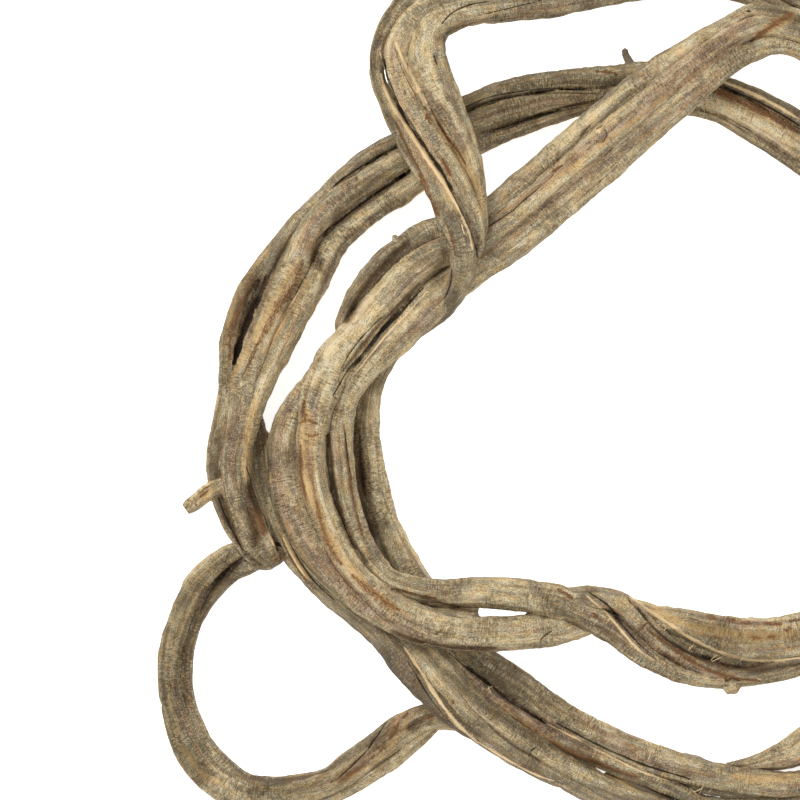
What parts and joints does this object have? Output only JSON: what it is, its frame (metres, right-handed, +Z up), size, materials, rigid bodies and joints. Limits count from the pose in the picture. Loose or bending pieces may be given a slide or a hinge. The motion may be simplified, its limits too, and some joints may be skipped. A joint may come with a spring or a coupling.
{
  "type": "grapevine wreath",
  "caption": "Open wreath of long dried grapevines bent into a ring and wound over and under each other, with a small loop at one side.",
  "frame": {"origin": "under the middle of the wreath, on the surface that it lies on", "axes": "+Z up from the surface, +Y towards the top of the pictured view, +X to its right"},
  "size_m": [0.4341, 0.4642, 0.0572],
  "materials": {
    "tan_bark": "dry tan bark with violet-grey streaks, corky cracks and rust specks",
    "straw_bark": "dry straw-coloured bark with cream split edges and rust specks",
    "khaki_bark": "dry khaki bark with dark grooves and cream ridges",
    "grey_bark": "dry grey bark with long cream ridges and brown slots"
  },
  "bodies": {
    "root": {"inner_vine": "tan_bark", "wrap_vine": "straw_bark", "arch_vine": "khaki_bark", "grey_vine": "grey_bark"}
  },
  "joints": []
}
